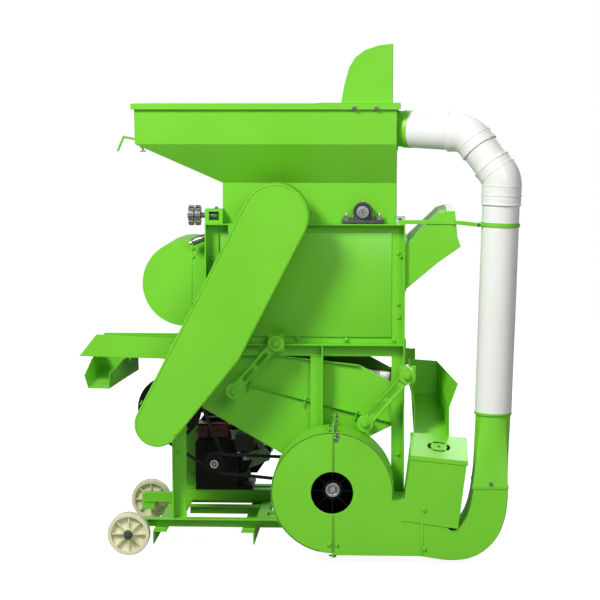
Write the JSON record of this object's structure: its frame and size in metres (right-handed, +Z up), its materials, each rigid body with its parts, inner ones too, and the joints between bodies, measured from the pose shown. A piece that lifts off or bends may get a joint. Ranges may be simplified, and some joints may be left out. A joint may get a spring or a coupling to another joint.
{
  "type": "peanut sheller",
  "caption": "Farm peanut sheller in lime-green sheet metal on an angle-iron frame, with feed hopper, swinging sieve, blower, engine and a white pipe that returns unshelled nuts.",
  "frame": {"origin": "on the floor under the middle of the machine's bounding box", "axes": "+X to the right along the machine towards the return pipe, +Y away from the side with the belt guard and the lift fan, +Z up"},
  "size_m": [1.3436, 0.752, 1.543],
  "materials": {
    "green_paint": "satin",
    "grey_green_paint": "satin",
    "red_paint": "gloss",
    "black_paint": "satin",
    "black_plastic": "matte",
    "grey_casting": "matte",
    "bright_steel": "satin",
    "ivory_nylon": "satin",
    "white_pipe": "satin",
    "belt_rubber": "matte"
  },
  "bodies": {
    "frame": {"frame_posts": "green_paint", "frame_rails": "green_paint", "skid_beams": "green_paint", "cross_members": "green_paint", "crossbars": "green_paint", "wheel_axles": "bright_steel", "hopper": "green_paint", "deflector_hood": "green_paint", "casing_panels": "green_paint", "concaves": "bright_steel", "pillow_blocks": "grey_casting", "blower_casing": "green_paint", "husk_chute": "green_paint", "unshelled_chute": "green_paint", "engine_belts": "belt_rubber", "guarded_belts": "belt_rubber", "belt_guard": "green_paint", "far_belt_guard": "green_paint", "lift_fan_left_shell": "green_paint", "lift_fan_right_shell": "green_paint", "elbow_duct": "green_paint", "riser_duct": "green_paint", "feed_box": "green_paint", "feed_box_lid": "green_paint", "vertical_pipe": "white_pipe", "pipe_elbows": "white_pipe", "short_pipes": "white_pipe", "pipe_collar": "green_paint", "stay_bar": "green_paint", "engine_block": "black_paint", "valve_cover": "grey_green_paint", "fuel_tank": "red_paint", "muffler": "bright_steel", "air_cleaner": "black_plastic", "recoil_starter": "red_paint", "brackets": "green_paint", "machine_beds": "green_paint", "bolts": "bright_steel"},
    "near_wheel": {"near_wheel": "ivory_nylon"},
    "far_wheel": {"far_wheel": "ivory_nylon"},
    "feed_gate": {"feed_gate": "bright_steel"},
    "gate_lock_screw": {"gate_lock_screw": "bright_steel"},
    "adjuster_screw": {"adjuster_screw": "grey_casting"},
    "primary_rotor": {"primary_rotor": "bright_steel"},
    "secondary_rotor": {"secondary_rotor": "bright_steel"},
    "blower_impeller": {"blower_impeller": "bright_steel"},
    "jackshaft": {"jackshaft": "black_paint"},
    "lift_fan_impeller": {"lift_fan_impeller": "black_paint"},
    "engine_shaft": {"engine_pulley": "black_paint"},
    "near_left_arm": {"near_left_arm": "green_paint"},
    "near_right_arm": {"near_right_arm": "green_paint"},
    "far_left_arm": {"far_left_arm": "green_paint"},
    "far_right_arm": {"far_right_arm": "green_paint"},
    "sieve": {"sieve_box": "green_paint", "sieve_screens": "bright_steel", "kernel_chute": "green_paint", "kernel_spout": "green_paint"},
    "connecting_rod": {"connecting_rod": "black_paint"},
    "fuel_cap": {"fuel_cap": "black_plastic"},
    "throttle_lever": {"throttle_lever": "bright_steel"}
  },
  "joints": [
    {"name": "engine_spin", "type": "hinge", "parent": "frame", "child": "engine_shaft", "pos_m": [-0.267, 0, 0.241], "axis": [0, 1, 0], "continuous": true},
    {"name": "jackshaft_spin", "type": "hinge", "parent": "frame", "child": "jackshaft", "pos_m": [-0.411, 0, 0.411], "axis": [0, 1, 0], "continuous": true},
    {"name": "primary_spin", "type": "hinge", "parent": "frame", "child": "primary_rotor", "pos_m": [-0.056, 0, 1.0415], "axis": [0, 1, 0], "continuous": true},
    {"name": "secondary_spin", "type": "hinge", "parent": "frame", "child": "secondary_rotor", "pos_m": [0.199, 0, 1.0415], "axis": [0, 1, 0], "continuous": true},
    {"name": "blower_spin", "type": "hinge", "parent": "frame", "child": "blower_impeller", "pos_m": [-0.345, 0, 0.818], "axis": [0, 1, 0], "continuous": true},
    {"name": "lift_fan_spin", "type": "hinge", "parent": "frame", "child": "lift_fan_impeller", "pos_m": [0.114, 0, 0.216], "axis": [0, 1, 0], "continuous": true},
    {"name": "near_wheel_spin", "type": "hinge", "parent": "frame", "child": "near_wheel", "pos_m": [-0.508, -0.2675, 0.064], "axis": [0, 1, 0], "continuous": true},
    {"name": "far_wheel_spin", "type": "hinge", "parent": "frame", "child": "far_wheel", "pos_m": [-0.508, 0.2675, 0.064], "axis": [0, 1, 0], "continuous": true},
    {"name": "sieve_swing", "type": "hinge", "parent": "frame", "child": "near_left_arm", "pos_m": [-0.061, -0.238, 0.646], "axis": [0, 1, 0], "range_deg": [-1.05, 1.05]},
    {"name": "near_right_swing", "type": "hinge", "parent": "frame", "child": "near_right_arm", "pos_m": [0.336, -0.238, 0.549], "axis": [0, 1, 0], "range_deg": [-1.05, 1.05]},
    {"name": "far_left_swing", "type": "hinge", "parent": "frame", "child": "far_left_arm", "pos_m": [-0.061, 0.238, 0.646], "axis": [0, 1, 0], "range_deg": [-1.05, 1.05]},
    {"name": "far_right_swing", "type": "hinge", "parent": "frame", "child": "far_right_arm", "pos_m": [0.336, 0.238, 0.549], "axis": [0, 1, 0], "range_deg": [-1.05, 1.05]},
    {"name": "sieve_hang", "type": "hinge", "parent": "near_left_arm", "child": "sieve", "pos_m": [-0.188, -0.238, 0.5], "axis": [0, 1, 0], "range_deg": [-1.05, 1.05]},
    {"name": "rod_swing", "type": "hinge", "parent": "sieve", "child": "connecting_rod", "pos_m": [-0.25, 0.07, 0.388], "axis": [0, 1, 0], "range_deg": [-0.83, 0.83]},
    {"name": "gate_slide", "type": "slide", "parent": "frame", "child": "feed_gate", "axis": [-0.9082, 0, 0.4186], "range_m": [0, 0.08]},
    {"name": "lock_screw_turn", "type": "hinge", "parent": "frame", "child": "gate_lock_screw", "pos_m": [-0.472, -0.155, 1.23], "axis": [0, 0, 1], "range_deg": [-180, 180]},
    {"name": "adjuster_turn", "type": "hinge", "parent": "frame", "child": "adjuster_screw", "pos_m": [-0.3, -0.198, 1.0295], "axis": [1, 0, 0], "range_deg": [-180, 180]},
    {"name": "fuel_cap_turn", "type": "hinge", "parent": "frame", "child": "fuel_cap", "pos_m": [-0.293, 0.15, 0.35], "axis": [0, 0, 1], "range_deg": [-90, 90]},
    {"name": "throttle_turn", "type": "hinge", "parent": "frame", "child": "throttle_lever", "pos_m": [-0.297, 0.0605, 0.29], "axis": [0, 1, 0], "range_deg": [-25, 25]}
  ],
  "couplings": [
    {"joint": "jackshaft_spin", "follows": "engine_spin", "ratio": 0.33},
    {"joint": "primary_spin", "follows": "engine_spin", "ratio": 0.2475},
    {"joint": "secondary_spin", "follows": "engine_spin", "ratio": 0.25369},
    {"joint": "blower_spin", "follows": "engine_spin", "ratio": 0.275},
    {"joint": "lift_fan_spin", "follows": "engine_spin", "ratio": 0.73333},
    {"joint": "near_right_swing", "follows": "sieve_swing", "ratio": 1},
    {"joint": "far_left_swing", "follows": "sieve_swing", "ratio": 1},
    {"joint": "far_right_swing", "follows": "sieve_swing", "ratio": 1},
    {"joint": "sieve_hang", "follows": "sieve_swing", "ratio": -1},
    {"joint": "rod_swing", "follows": "sieve_swing", "ratio": -0.78882}
  ]
}
